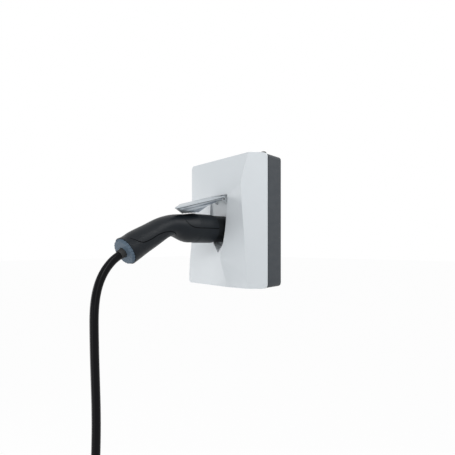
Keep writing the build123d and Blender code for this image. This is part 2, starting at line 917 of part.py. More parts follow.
with BuildPart() as hand_shell:
    add(hand_form(0, 0, 0))
    add(hand_form(shell_wall, shell_wall, end_gap), mode=Mode.SUBTRACT)
    with BuildSketch(out(barrel_start - overrun)):
        socket_circle(collar_radius + end_gap / 2)
    extrude(amount=2 * overrun, mode=Mode.SUBTRACT)

with BuildPart() as plug_body:
    add(hand_shell.part)
    add(grip_prism(seam), mode=Mode.SUBTRACT)
    add(cap_prism(seam), mode=Mode.SUBTRACT)
save(plug_body, "plug_body")

with BuildPart() as plug_grip:
    add(hand_shell.part)
    add(grip_prism(0), mode=Mode.INTERSECT)
save(plug_grip, "plug_grip")

with BuildPart() as plug_cap:
    add(hand_shell.part)
    add(cap_prism(0), mode=Mode.INTERSECT)
save(plug_cap, "plug_cap")

with BuildPart() as plug_collar:
    with BuildSketch(out(pin_depth)):
        socket_circle(collar_radius, collar_radius - collar_wall)
    extrude(amount=hollow_front - pin_depth)
    with BuildSketch(Plane.XY.offset(socket_rise)):
        with Locations((0, -rim - bolt_out)):
            Circle(lock_hole_radius)
    extrude(amount=2 * collar_radius, mode=Mode.SUBTRACT)
    chamfer(plug_collar.faces().sort_by(Axis.Y)[-1].edges(), skin_edge)
save(plug_collar, "plug_collar")

with BuildPart() as plug_carrier:
    with BuildSketch(out(plug_face)):
        socket_circle(plug_carrier_radius)
        contacts(power_radius, signal_radius, Mode.SUBTRACT)
    extrude(amount=hollow_front - plug_face)
    with BuildSketch(out(hollow_front)):
        socket_circle(barrel_radius - 2 * shell_wall)
        contacts(power_radius, signal_radius, Mode.SUBTRACT)
    extrude(amount=carrier_flange)
save(plug_carrier, "plug_carrier")

with BuildPart() as plug_pins:
    with BuildSketch(out(pin_depth + pin_inset)):
        contacts(power_radius, signal_radius)
    extrude(amount=pin_length_total)
    chamfer(plug_pins.faces().group_by(Axis.Y)[-1].edges(), pin_chamfer)
save(plug_pins, "plug_pins")

with BuildPart() as plug_end:
    with BuildSketch(end_plane.offset(end_gap)):
        Circle(grip_end_radius - shell_wall / 2)
        Circle(cable_radius + end_gap, mode=Mode.SUBTRACT)
        with PolarLocations(grip_end_radius - shell_wall / 2, end_teeth):
            Circle(end_tooth_radius, mode=Mode.SUBTRACT)
    extrude(amount=end_thickness, taper=end_taper)
    with BuildSketch(end_plane.offset(end_gap)):
        Circle(grip_end_radius - shell_wall - 4 * end_gap)
        Circle(cable_radius + end_gap, mode=Mode.SUBTRACT)
    extrude(amount=-end_spigot)
save(plug_end, "plug_end")

with BuildPart() as plug_bush:
    with BuildSketch(end_plane.offset(end_gap + end_thickness)):
        Circle(bush_radius)
    with BuildSketch(end_plane.offset(end_gap + end_thickness + bush_length)):
        Circle(bush_tip_radius)
    loft(ruled=True)
    with BuildSketch(end_plane):
        Circle(cable_radius + end_gap)
    extrude(amount=hand_span, mode=Mode.SUBTRACT)
save(plug_bush, "plug_bush")

# Cable: its route lies in the box's middle plane. Points are (reach in front of the rim,
# height), chosen by hand.
cable_route = (
    (247.9, -56.74),
    (269.4, -68.56),
    (283.2, -80.5),
    (294.2, -94.8),
    (302.5, -111.9),
    (307.9, -132.2),
    (310.6, -158.1),
    (310.3, -192),
    (309.5, -231),
    (308, -276),
    (306.5, -326),
    (307, -376),
    (309, -426),
    (311, -471),
    (312, -511),
    (312.4, -546),
)
tail_route = ((313.4, -541), (319, -574), (323.5, -607), (323.5, -640))
lane_pitch = 2 * cable_radius
coil_rise = -546
coil_reach = cable_route[-2][0] - coil_radius - lane_pitch
coil_axis = Axis((0, -rim - coil_reach, coil_rise), (1, 0, 0))
coil_size = coil_lanes * lane_pitch + 2 * tie_clearance
coil_corner = 0.4 * lane_pitch
tie_angle = 10
tie_turns = (100, 225)


def cord_tube(route, across, label):
    """A round cord along straight runs joined by arcs as large as the runs allow."""
    points = [Vector(across, -rim - reach, rise) for reach, rise in route]
    radii = []
    for before, corner, after in zip(points, points[1:], points[2:]):
        turn = (corner - before).get_angle(after - corner)
        shorter = min((corner - before).length, (after - corner).length)
        radii.append(0.45 * shorter / tan(radians(turn) / 2))
    print(label, "radii", [round(radius) for radius in radii])
    with BuildPart() as tube:
        with BuildLine():
            path = FilletPolyline(*points, radius=radii)
        with BuildSketch(Plane(origin=path @ 0, z_dir=path % 0)):
            Circle(cable_radius)
        sweep()
    straight = path.length * pi * cable_radius**2
    print(label, "length", round(path.length), "volume share", round(tube.part.volume / straight, 4))
    return tube.part


def coil_section(grow):
    """The section of all the turns together, on the coil's front side."""
    with Locations((0, coil_radius)):
        RectangleRounded(coil_size + 2 * grow, coil_size + 2 * grow, coil_corner + grow)


coil_section_plane = Plane(origin=coil_axis.position, x_dir=(1, 0, 0), z_dir=(0, 1, 0))
with BuildPart() as cable_coil:
    with BuildSketch(coil_section_plane):
        coil_section(0)
    revolve(axis=coil_axis)
save(cable_coil, "cable_coil")

with BuildPart() as cable:
    add(cord_tube(cable_route, 0, "cable"))
    add(cable_coil.part, mode=Mode.SUBTRACT)
save(cable, "cable")

tie_opening = coil_size + 2 * tie_clearance
with BuildPart() as coil_ties:
    for turn in tie_turns:
        with BuildSketch(coil_section_plane.rotated((turn, 0, 0))):
            coil_section(tie_clearance + tie_thickness)
            with Locations((0, coil_radius)):
                RectangleRounded(tie_opening, tie_opening, coil_corner, mode=Mode.SUBTRACT)
        revolve(axis=coil_axis, revolution_arc=tie_angle)
save(coil_ties, "coil_ties")

with BuildPart() as cable_tail:
    add(cord_tube(tail_route, lane_pitch, "cable_tail"))
    add(cable_coil.part, mode=Mode.SUBTRACT)
save(cable_tail, "cable_tail")

# The vehicle's connector has the same handle. It hangs on the cable's other end with its
# cable entry up and its mouth towards the wall.
connector_reach = 34
connector_recess = 1.5
cable_exit = Vector(lane_pitch, -rim - tail_route[-1][0], tail_route[-1][1] + end_spigot)
connector_turn = Rotation(0, 0, 180) * Rotation(-90 - grip_droop, 0, 0)
connector_place = Location(cable_exit) * connector_turn * Location(-end_plane.origin)

with BuildPart() as collar_form:
    with BuildSketch(out(hollow_front)):
        socket_circle(collar_radius, collar_radius - collar_wall)
    extrude(amount=-connector_reach)
    chamfer(collar_form.faces().sort_by(Axis.Y)[-1].edges(), skin_edge)

with BuildPart() as carrier_form:
    with BuildSketch(out(hollow_front)):
        socket_circle(plug_carrier_radius)
        contacts(power_radius + contact_clearance, signal_radius + contact_clearance, Mode.SUBTRACT)
    extrude(amount=connector_recess - connector_reach)
    with BuildSketch(out(hollow_front)):
        socket_circle(barrel_radius - 2 * shell_wall)
        contacts(power_radius + contact_clearance, signal_radius + contact_clearance, Mode.SUBTRACT)
    extrude(amount=carrier_flange)

with BuildPart() as sleeve_form:
    with BuildSketch(out(hollow_front + 3 * carrier_flange)):
        contacts(power_radius + contact_clearance, signal_radius + contact_clearance)
    extrude(amount=2 * connector_recess - connector_reach - 3 * carrier_flange)

connector_forms = {
    "connector_body": plug_body,
    "connector_grip": plug_grip,
    "connector_cap": plug_cap,
    "connector_collar": collar_form,
    "connector_carrier": carrier_form,
    "connector_contacts": sleeve_form,
    "connector_end": plug_end,
    "connector_bush": plug_bush,
}
for label, form in connector_forms.items():
    with BuildPart() as connector_piece:
        add(form.part.moved(connector_place))
    save(connector_piece, label)

# Rail across the housing's back wall, with the switchgear on it
rail_side_gap = 20.5
rail_length = box_width - 2 * rail_side_gap
rail_height = 35
rail_depth = 7.5
rail_sheet = 1
rail_foot = 25
with BuildPart() as din_rail:
    with BuildSketch(Plane.YZ):
        with BuildLine():
            Polyline(
                (-back_wall, rail_rise - rail_foot / 2),
                (-back_wall, rail_rise + rail_foot / 2),
                (-back_wall - rail_depth + rail_sheet, rail_rise + rail_foot / 2),
                (-back_wall - rail_depth + rail_sheet, rail_rise + rail_height / 2),
                (-back_wall - rail_depth, rail_rise + rail_height / 2),
                (-back_wall - rail_depth, rail_rise + rail_foot / 2 - rail_sheet),
                (-back_wall - rail_sheet, rail_rise + rail_foot / 2 - rail_sheet),
                (-back_wall - rail_sheet, rail_rise - rail_foot / 2 + rail_sheet),
                (-back_wall - rail_depth, rail_rise - rail_foot / 2 + rail_sheet),
                (-back_wall - rail_depth, rail_rise - rail_height / 2),
                (-back_wall - rail_depth + rail_sheet, rail_rise - rail_height / 2),
                (-back_wall - rail_depth + rail_sheet, rail_rise - rail_foot / 2),
                close=True,
            )
        make_face()
    extrude(amount=rail_length / 2, both=True)
save(din_rail, "din_rail")

module_back = back_wall + rail_depth
module_depth = 26
module_height = 84
module_nose = 5
module_nose_height = 45
module_gap = 1


def module_case(left, width, low, high, screw_rises):
    """A switchgear case on the rail: a deep body, a raised middle, terminal screws."""
    middle = left + width / 2
    with BuildPart() as case:
        with BuildSketch(front.offset(module_back)):
            with Locations((middle, (low + high) / 2)):
                Rectangle(width, high - low)
        extrude(amount=module_depth)
        with BuildSketch(front.offset(module_back + module_depth)):
            with Locations((middle, rail_rise)):
                Rectangle(width, min(module_nose_height, high - low))
        extrude(amount=module_nose)
        for rise in screw_rises:
            with BuildSketch(front.offset(module_back + module_depth)):
                with Locations((middle, rise)):
                    with GridLocations(width / module_screws, module_gap, module_screws, 1):
                        Circle(screw_head_radius)
            extrude(amount=-2 * screw_head_height, mode=Mode.SUBTRACT)
    return case.part


module_screws = 4
module_low = rail_rise - module_height / 2
module_high = rail_rise + module_height / 2
low_screws = module_low + 2 * screw_head_radius
high_screws = module_high - 2 * screw_head_radius
rcd_side_gap = 26.5
rcd_left = rcd_side_gap - half_width
rcd_width = 54
toggle_width = 34
toggle_height = 9
with BuildPart() as rcd_module:
    add(module_case(rcd_left, rcd_width, module_low, module_high, (low_screws, high_screws)))
    with BuildSketch(front.offset(module_back + module_depth + module_nose)):
        with Locations((rcd_left + rcd_width / 2, rail_rise)):
            Rectangle(toggle_width, toggle_height)
    extrude(amount=module_gap)
save(rcd_module, "rcd_module")

supply_left = rcd_left + rcd_width + module_gap
supply_width = 44
actuator_top = tube_top + seat_gap + actuator_height
with BuildPart() as power_supply:
    add(module_case(supply_left, supply_width, actuator_top + seat_gap, module_high, (high_screws,)))
save(power_supply, "power_supply")

contactor_left = supply_left + supply_width + 3 * module_gap
contactor_width = 36
with BuildPart() as contactor:
    add(module_case(contactor_left, contactor_width, module_low, module_high, (low_screws, high_screws)))
save(contactor, "contactor")

terminal_width = 6.2
terminal_height = 46
terminal_count = 5
terminal_depth = 24
with BuildPart() as supply_terminals:
    for number in range(terminal_count):
        middle = contactor_left + contactor_width + module_gap + (number + 0.5) * (terminal_width + seat_gap)
        with BuildSketch(front.offset(module_back)):
            with Locations((middle, rail_rise)):
                Rectangle(terminal_width, terminal_height)
        extrude(amount=terminal_depth)
        with BuildSketch(front.offset(module_back + terminal_depth)):
            with Locations((middle, rail_rise)):
                with GridLocations(module_gap, terminal_height - 4 * screw_radius, 1, 2):
                    Circle(screw_radius)
        extrude(amount=-2 * screw_head_height, mode=Mode.SUBTRACT)
save(supply_terminals, "supply_terminals")

# Ring that senses fault current, on the back wall beside the socket
sensor_side_gap = 28.5
sensor_x = half_width - sensor_side_gap
sensor_radius = 17
sensor_bore = 9
sensor_depth = 14
with BuildPart() as leakage_sensor:
    with BuildSketch(front.offset(back_wall)):
        with Locations((sensor_x, 0)):
            Circle(sensor_radius)
            Circle(sensor_bore, mode=Mode.SUBTRACT)
    extrude(amount=sensor_depth)
    fillet(leakage_sensor.faces().sort_by(Axis.Y)[0].edges(), module_gap)
save(leakage_sensor, "leakage_sensor")

# Earth bar with its screws
bar_side_gap = 30.5
bar_x = bar_side_gap - half_width
bar_rise = -38
bar_length = 40
bar_height = 9
bar_depth = 8
bar_screws = 5
with BuildPart() as earth_bar:
    with BuildSketch(front.offset(back_wall)):
        with Locations((bar_x, bar_rise)):
            Rectangle(bar_length, bar_height)
    extrude(amount=bar_depth)
    with BuildSketch(front.offset(back_wall + bar_depth)):
        with Locations((bar_x, bar_rise)):
            with GridLocations(bar_length / bar_screws, module_gap, bar_screws, 1):
                Circle(screw_head_radius - module_gap)
    extrude(amount=screw_radius)
save(earth_bar, "earth_bar")

# Control board on its standoffs, with what it carries
board_back = back_wall + board_lift
board_face = board_back + board_thickness
with BuildPart() as control_board:
    with BuildSketch(front.offset(board_back)):
        with Locations((0, board_rise)):
            RectangleRounded(board_width, board_height, standoff_radius)
    extrude(amount=board_thickness)
save(control_board, "control_board")

relay_width = 19
relay_height = 15.5
relay_depth = 15.5
relay_count = 4
relay_pitch = 22
relay_left = -58
with BuildPart() as board_relays:
    with BuildSketch(front.offset(board_face)):
        with Locations((relay_left + relay_pitch, board_rise - board_height / 4)):
            with GridLocations(relay_pitch, relay_height, relay_count, 1):
                Rectangle(relay_width, relay_height)
    extrude(amount=relay_depth)
    chamfer(board_relays.faces().sort_by(Axis.Y)[0:relay_count].edges(), seat_gap)
save(board_relays, "board_relays")

capacitor_radius = 6.3
capacitor_height = 18
capacitor_count = 3
capacitor_pitch = 15
with BuildPart() as board_capacitors:
    with BuildSketch(front.offset(board_face)):
        with Locations((relay_left + relay_pitch, board_rise + board_height / 4)):
            with GridLocations(capacitor_pitch, capacitor_pitch, capacitor_count, 1):
                Circle(capacitor_radius)
    extrude(amount=capacitor_height)
save(board_capacitors, "board_capacitors")

plug_row_width = 30
plug_row_height = 8
plug_row_depth = 10
plug_row_pitch = 36
with BuildPart() as board_connectors:
    with BuildSketch(front.offset(board_face)):
        with Locations((board_width / 4, board_rise + board_height / 2 - plug_row_height)):
            with GridLocations(plug_row_pitch, plug_row_height, 2, 1):
                Rectangle(plug_row_width, plug_row_height)
    extrude(amount=plug_row_depth)
    with BuildSketch(front.offset(board_face + plug_row_depth)):
        with Locations((board_width / 4, board_rise + board_height / 2 - plug_row_height)):
            with GridLocations(plug_row_pitch, plug_row_height, 2, 1):
                Rectangle(plug_row_width - 2 * membrane, plug_row_height - 2 * membrane)
    extrude(amount=-plug_row_depth / 2, mode=Mode.SUBTRACT)
save(board_connectors, "board_connectors")

comms_width = 46
comms_height = 34
comms_lift = 5
shield_width = 22
shield_height = 18
shield_depth = 3
with BuildPart() as comms_board:
    with BuildSketch(front.offset(board_face)):
        with Locations((board_width / 4 + comms_lift, board_rise - board_height / 6)):
            with GridLocations(module_gap, comms_height - terminal_width, 1, 2):
                Rectangle(comms_width - terminal_width, screw_radius)
    extrude(amount=comms_lift)
    with BuildSketch(front.offset(board_face + comms_lift)):
        with Locations((board_width / 4 + comms_lift, board_rise - board_height / 6)):
            Rectangle(comms_width, comms_height)
    extrude(amount=board_thickness)
    with BuildSketch(front.offset(board_face + comms_lift + board_thickness)):
        with Locations((board_width / 4 + comms_lift, board_rise - board_height / 6)):
            Rectangle(shield_width, shield_height)
    extrude(amount=shield_depth)
save(comms_board, "comms_board")
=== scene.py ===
import bpy
import json
from math import cos, sin, pi, radians
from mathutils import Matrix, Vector


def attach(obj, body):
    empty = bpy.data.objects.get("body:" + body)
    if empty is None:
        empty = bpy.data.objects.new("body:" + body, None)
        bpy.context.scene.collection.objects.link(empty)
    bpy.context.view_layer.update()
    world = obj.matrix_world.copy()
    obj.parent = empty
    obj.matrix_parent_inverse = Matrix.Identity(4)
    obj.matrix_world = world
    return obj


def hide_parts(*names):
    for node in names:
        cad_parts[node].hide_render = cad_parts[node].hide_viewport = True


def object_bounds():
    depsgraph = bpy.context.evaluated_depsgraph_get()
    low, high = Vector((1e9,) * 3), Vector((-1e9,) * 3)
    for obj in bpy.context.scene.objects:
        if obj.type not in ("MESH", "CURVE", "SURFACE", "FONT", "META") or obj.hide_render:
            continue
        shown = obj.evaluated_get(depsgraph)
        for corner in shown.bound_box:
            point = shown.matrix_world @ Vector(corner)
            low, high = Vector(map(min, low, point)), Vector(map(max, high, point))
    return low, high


# A wall-mounted charging box, its plug, and the cable that hangs from it. The frame is
# the part's own: metres, +Z up, the wall is Y = 0 and the box faces -Y.

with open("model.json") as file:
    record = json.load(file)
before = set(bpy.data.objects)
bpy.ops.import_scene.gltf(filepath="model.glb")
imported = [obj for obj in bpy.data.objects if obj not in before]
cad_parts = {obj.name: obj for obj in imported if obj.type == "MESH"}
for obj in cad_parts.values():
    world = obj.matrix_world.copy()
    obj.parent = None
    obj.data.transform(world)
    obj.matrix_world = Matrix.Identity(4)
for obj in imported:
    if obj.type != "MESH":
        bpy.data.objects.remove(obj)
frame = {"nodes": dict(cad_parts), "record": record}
cad_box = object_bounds()
nodes = frame["nodes"]

# Photograph's view
camera_place = (0.5905, -0.6863, -0.0488)
camera_turn = 42.8
camera_lens = 31.49
sensor_width = 36
nearest_seen = 0.02
frame_pixels = 455
horizon_pixel = 245

# Cable, repeated from the part's source: (reach in front of the rim, height)
rim = 0.053
cable_diameter = 0.0145
cable_route = (
    (0.2479, -0.05674),
    (0.2694, -0.06856),
    (0.2832, -0.0805),
    (0.2942, -0.0948),
    (0.3025, -0.1119),
    (0.3079, -0.1322),
    (0.3106, -0.1581),
    (0.3103, -0.192),
    (0.3095, -0.231),
    (0.308, -0.276),
    (0.3065, -0.326),
    (0.307, -0.376),
    (0.309, -0.426),
    (0.311, -0.471),
    (0.312, -0.511),
)
tail_route = ((0.319, -0.574), (0.3235, -0.607), (0.3235, -0.640))
coil_radius = 0.080
coil_rise = -0.546
coil_reach = 0.2179
coil_lanes = (
    (0, 1),
    (-1, 1),
    (-1, 0),
    (-1, -1),
    (0, -1),
    (0, 0),
    (1, -1),
    (1, 0),
    (1, 1),
)
points_per_turn = 16
shift_share = 0.35

# Seams of the plug's shell, repeated from the part's source: shares of the grip's length,
# from the barrel's end, in the side view
grip_length = 0.1563
barrel_end = 0.096
plug_rise = -0.0154
grip_seam = (
    (0.205, -0.253),
    (0.301, -0.138),
    (0.384, -0.072),
    (0.505, -0.057),
    (0.646, -0.089),
    (0.787, -0.157),
    (0.896, -0.181),
    (1.062, -0.113),
)
cap_seam = (
    (-0.28, 0),
    (-0.1, 0),
    (0.102, 0),
    (0.192, 0.025),
    (0.246, 0.079),
    (0.256, 0.137),
    (0.230, 0.233),
)
shell_nodes = ("plug_body", "plug_grip", "plug_cap")
seam_radius = 0.0011
seam_sink = 0.0008
seam_steps = 8
cast_reach = 0.06

# The streaks of the open flap's underside follow its slope, in degrees
flap_droop = 14.3
streak_stretch = (1, 22, 1)
streak_scale = 330.0
streak_depth = 0.0006

# Scales of the materials' noise, per metre, and the part of it that is spread over a range
cloud_scale = 9.0
smear_scale = 38.0
smear_stretch = (1, 1, 2.5)
smear_share = 0.12
line_scale = 120.0
line_depth = 0.00003
thread_scale = 420.0
thread_depth = 0.0003
noise_low = 0.3
noise_high = 0.7

# Floor and studio
floor_size = 25.0
floor_gap = 0.12
floor_colour = (0.9, 0.9, 0.9, 1)
floor_roughness = 0.9
floor_whiteness = 0.96
studio_colour = (0.97, 0.985, 1.0, 1)
studio_strength = 0.54
plain_white = (1, 1, 1, 1)

# Lamps: name, place, aim, size, watts
lamps = (
    ("top_strip", (0.80, -0.90, 1.00), (0, -0.2, -0.05), (0.30, 1.2), 6),
    ("low_left", (-1.5, -1.0, -0.45), (0, -0.1, -0.05), (1.5, 1.7), 13),
    ("low_front", (0.25, -1.9, -0.60), (0, -0.1, -0.05), (1.0, 1.0), 3.5),
    ("right_strip", (1.4, -1.1, 0.30), (0, -0.1, 0), (0.6, 1.4), 3.6),
    ("side_strip", (1.0, 0.50, 0.95), (0, -0.2, 0), (0.3, 0.9), 5.5),
)


def shader_parts(name):
    """A new material, its node tree and its principled shader."""
    material = bpy.data.materials.new(name)
    material.use_nodes = True
    tree = material.node_tree
    shader = tree.nodes["Principled BSDF"]
    return material, tree, shader


def add_node(tree, kind, **inputs):
    """A node with its inputs set by name, underscores for spaces."""
    node = tree.nodes.new(kind)
    for key, value in inputs.items():
        node.inputs[key.replace("_", " ")].default_value = value
    return node


def object_noise(tree, scale, detail=3.0, stretch=(1, 1, 1)):
    """Noise in object space, stretched along the axes."""
    place = tree.nodes.new("ShaderNodeTexCoord")
    mapping = tree.nodes.new("ShaderNodeMapping")
    mapping.inputs["Scale"].default_value = stretch
    noise = add_node(tree, "ShaderNodeTexNoise", Scale=scale, Detail=detail)
    tree.links.new(place.outputs["Object"], mapping.inputs["Vector"])
    tree.links.new(mapping.outputs["Vector"], noise.inputs["Vector"])
    return noise.outputs["Fac"]


def ramp(tree, source, low, high, start=noise_low, end=noise_high):
    """Two colours blended by a value."""
    node = tree.nodes.new("ShaderNodeValToRGB")
    node.color_ramp.elements[0].position = start
    node.color_ramp.elements[0].color = (*low, 1)
    node.color_ramp.elements[1].position = end
    node.color_ramp.elements[1].color = (*high, 1)
    tree.links.new(source, node.inputs["Fac"])
    return node.outputs["Color"]


def spread(tree, source, low, high):
    """A value mapped onto a range."""
    node = tree.nodes.new("ShaderNodeMapRange")
    node.inputs["From Min"].default_value = noise_low
    node.inputs["From Max"].default_value = noise_high
    node.inputs["To Min"].default_value = low
    node.inputs["To Max"].default_value = high
    tree.links.new(source, node.inputs["Value"])
    return node.outputs["Result"]


def bump(tree, shader, height, distance):
    """Relief of the surface from a value, as deep as the distance."""
    node = add_node(tree, "ShaderNodeBump", Strength=1.0, Distance=distance)
    tree.links.new(height, node.inputs["Height"])
    tree.links.new(node.outputs["Normal"], shader.inputs["Normal"])


def shade(colour, factor):
    """A colour made darker or lighter."""
    return tuple(min(1.0, channel * factor) for channel in colour)


def moulded(name, colour, roughness, grain=1800.0, depth=0.00004, vary=0.04, gloss=0.5):
    """Moulded plastic: a fine grain, faint clouds of colour and of gloss."""
    material, tree, shader = shader_parts(name)
    clouds = object_noise(tree, cloud_scale, detail=4.0)
    tint = ramp(tree, clouds, shade(colour, 1 - vary), shade(colour, 1 + vary))
    tree.links.new(tint, shader.inputs["Base Color"])
    fine = object_noise(tree, grain, detail=2.0)
    smears = object_noise(tree, smear_scale, 5.0, smear_stretch)
    smooth, rough = roughness * (1 - smear_share), roughness * (1 + smear_share)
    tree.links.new(spread(tree, smears, smooth, rough), shader.inputs["Roughness"])
    shader.inputs["Specular IOR Level"].default_value = gloss
    bump(tree, shader, fine, depth)
    return material


def streaked(name, low, high, roughness):
    """Moulded plastic with streaks along the open flap."""
    material, tree, shader = shader_parts(name)
    place = tree.nodes.new("ShaderNodeTexCoord")
    mapping = tree.nodes.new("ShaderNodeMapping")
    mapping.vector_type = "TEXTURE"
    mapping.inputs["Rotation"].default_value = (radians(flap_droop), 0, 0)
    mapping.inputs["Scale"].default_value = streak_stretch
    lines = add_node(tree, "ShaderNodeTexNoise", Scale=streak_scale, Detail=2.0)
    tree.links.new(place.outputs["Object"], mapping.inputs["Vector"])
    tree.links.new(mapping.outputs["Vector"], lines.inputs["Vector"])
    tint = ramp(tree, lines.outputs["Fac"], low, high, start=0.38, end=0.62)
    tree.links.new(tint, shader.inputs["Base Color"])
    shader.inputs["Roughness"].default_value = roughness
    bump(tree, shader, lines.outputs["Fac"], streak_depth)
    return material


def metal(name, colour, roughness, brushed=(1, 1, 30)):
    """Plated or brushed metal with fine lines."""
    material, tree, shader = shader_parts(name)
    lines = object_noise(tree, line_scale, 4.0, brushed)
    tint = ramp(tree, lines, shade(colour, 0.85), shade(colour, 1.08))
    tree.links.new(tint, shader.inputs["Base Color"])
    gloss = spread(tree, lines, roughness * 0.8, roughness * 1.3)
    tree.links.new(gloss, shader.inputs["Roughness"])
    shader.inputs["Metallic"].default_value = 1.0
    bump(tree, shader, lines, line_depth)
    return material


def woven(name, colour):
    """Hook-and-loop tape: crossed threads."""
    material, tree, shader = shader_parts(name)
    place = tree.nodes.new("ShaderNodeTexCoord")
    across = tree.nodes.new("ShaderNodeTexWave")
    across.bands_direction = "X"
    across.inputs["Scale"].default_value = thread_scale
    down = tree.nodes.new("ShaderNodeTexWave")
    down.bands_direction = "Z"
    down.inputs["Scale"].default_value = thread_scale
    weave = tree.nodes.new("ShaderNodeMath")
    weave.operation = "MULTIPLY"
    for index, wave in enumerate((across, down)):
        tree.links.new(place.outputs["Object"], wave.inputs["Vector"])
        tree.links.new(wave.outputs["Fac"], weave.inputs[index])
    low, high = shade(colour, 0.6), shade(colour, 1.6)
    tint = ramp(tree, weave.outputs["Value"], low, high, start=0.1, end=0.8)
    tree.links.new(tint, shader.inputs["Base Color"])
    shader.inputs["Roughness"].default_value = 0.9
    shader.inputs["Sheen Weight"].default_value = 0.4
    bump(tree, shader, weave.outputs["Value"], thread_depth)
    return material


materials = {
    "cover_white": moulded("cover_white", (0.63, 0.665, 0.69), 0.34, depth=0.00001, vary=0.012),
    # The flap's skin is the cover's white plastic, given a darker colour here: painted shade
    "flap_white": moulded("flap_white", (0.46, 0.50, 0.53), 0.34, depth=0.00001, vary=0.012),
    "flap_grey": streaked("flap_grey", (0.15, 0.18, 0.215), (0.46, 0.50, 0.535), 0.34),
    "housing_dark": moulded(
        "housing_dark",
        (0.036, 0.043, 0.051),
        0.55,
        grain=1400.0,
        depth=0.00010,
        vary=0.05,
        gloss=0.4,
    ),
    "plug_dark": moulded(
        "plug_dark",
        (0.0045, 0.0072, 0.0105),
        0.42,
        grain=1500.0,
        depth=0.00008,
        vary=0.10,
        gloss=0.21,
    ),
    "plug_black": moulded(
        "plug_black",
        (0.006, 0.007, 0.008),
        0.36,
        depth=0.00002,
        vary=0.08,
        gloss=0.10,
    ),
    # Near-black tubes in the plug's seams: painted shade of the gaps between the shells
    "seam_painted_shade": moulded("seam_painted_shade", (0.002, 0.002, 0.002), 0.90, depth=0.00001, gloss=0.0),
    "carrier_black": moulded(
        "carrier_black", (0.014, 0.014, 0.015), 0.45, depth=0.00003, vary=0.08
    ),
    "gland_blue": moulded(
        "gland_blue",
        (0.100, 0.138, 0.182),
        0.50,
        depth=0.000003,
        vary=0.04,
        gloss=0.12,
    ),
    "cable_black": moulded(
        "cable_black",
        (0.003, 0.003, 0.004),
        0.20,
        grain=700.0,
        depth=0.000001,
        vary=0.10,
        gloss=0.10,
    ),
    "tie_black": woven("tie_black", (0.02, 0.02, 0.02)),
    "seal_rubber": moulded(
        "seal_rubber", (0.018, 0.018, 0.018), 0.65, grain=900.0, depth=0.00006, vary=0.12
    ),
    "steel": metal("steel", (0.60, 0.61, 0.62), 0.32),
    "pin_dark": metal("pin_dark", (0.08, 0.07, 0.06), 0.40),
    "plate_steel": moulded(
        "plate_steel", (0.30, 0.31, 0.32), 0.42, grain=600.0, depth=0.00012, vary=0.05
    ),
    "contact_metal": metal("contact_metal", (0.74, 0.68, 0.55), 0.25, (30, 1, 30)),
    "module_grey": moulded("module_grey", (0.48, 0.50, 0.51), 0.48),
    "terminal_beige": moulded("terminal_beige", (0.55, 0.50, 0.40), 0.50),
    "board_green": moulded(
        "board_green", (0.015, 0.11, 0.05), 0.30, grain=300.0, depth=0.00006, vary=0.2
    ),
    "part_black": moulded("part_black", (0.02, 0.02, 0.022), 0.50),
    "can_metal": metal("can_metal", (0.66, 0.67, 0.69), 0.30, (1, 30, 1)),
}
for entry in frame["record"]["subparts"]:
    mesh = nodes[entry["node"]].data
    mesh.materials.clear()
    mesh.materials.append(materials[entry["material_slot"]])


def side_point(across, reach, rise):
    """A point given by its reach in front of the rim."""
    return Vector((across, -rim - reach, rise))


def add_object(name, data):
    """An object in the scene, at the origin."""
    item = bpy.data.objects.new(name, data)
    bpy.context.scene.collection.objects.link(item)
    return item


def add_spline(curve, kind, points):
    """A spline of the curve with the points as its control points."""
    spline = curve.splines.new(kind)
    spline.points.add(len(points) - 1)
    for place, point in zip(spline.points, points):
        place.co = (*point, 1)
    return spline


def coil_points():
    """Nine turns, lane after lane. A quadratic curve cuts inside its control points."""
    outset = 1 / cos(pi / points_per_turn)
    last = len(coil_lanes) - 1
    points = []
    for step in range(len(coil_lanes) * points_per_turn + 1):
        turn = min(step // points_per_turn, last)
        along = step / points_per_turn - turn
        shift = max(0.0, (along - 1 + shift_share) / shift_share) if turn < last else 0.0
        lane, following = coil_lanes[turn], coil_lanes[min(turn + 1, last)]
        across, layer = (a + (b - a) * shift for a, b in zip(lane, following))
        radius = (coil_radius + layer * cable_diameter) * outset
        angle = -2 * pi * step / points_per_turn
        reach = coil_reach + radius * cos(angle)
        rise = coil_rise + radius * sin(angle)
        points.append(side_point(across * cable_diameter, reach, rise))
    return points


def make_cable():
    """The whole cord on one smooth curve: down, round the coil, and on to the connector."""
    route = [side_point(0, reach, rise) for reach, rise in cable_route]
    tail = [side_point(cable_diameter, reach, rise) for reach, rise in tail_route]
    points = route + coil_points() + tail
    curve = bpy.data.curves.new("charging_cable", "CURVE")
    curve.dimensions = "3D"
    spline = add_spline(curve, "NURBS", points)
    spline.order_u = 3
    spline.use_endpoint_u = True
    curve.resolution_u = 6
    curve.bevel_depth = cable_diameter / 2
    curve.bevel_resolution = 6
    curve.use_fill_caps = True
    curve.materials.append(materials["cable_black"])
    return add_object("charging_cable", curve), points[0]


cable, cable_start = make_cable()
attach(cable, "plug")
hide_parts("cable", "cable_coil", "cable_tail")


def smooth_run(points):
    """Steps along a smooth curve through the points, a Catmull-Rom spline."""
    ends = [2 * points[0] - points[1], *points, 2 * points[-1] - points[-2]]
    run = []
    for before, start, finish, after in zip(ends, ends[1:], ends[2:], ends[3:]):
        slope = (finish - before) / 2
        square = before - 2.5 * start + 2 * finish - after / 2
        cube = 1.5 * (start - finish) + (after - before) / 2
        for step in range(seam_steps):
            share = step / seam_steps
            run.append(start + share * (slope + share * (square + share * cube)))
    return run + [points[-1]]


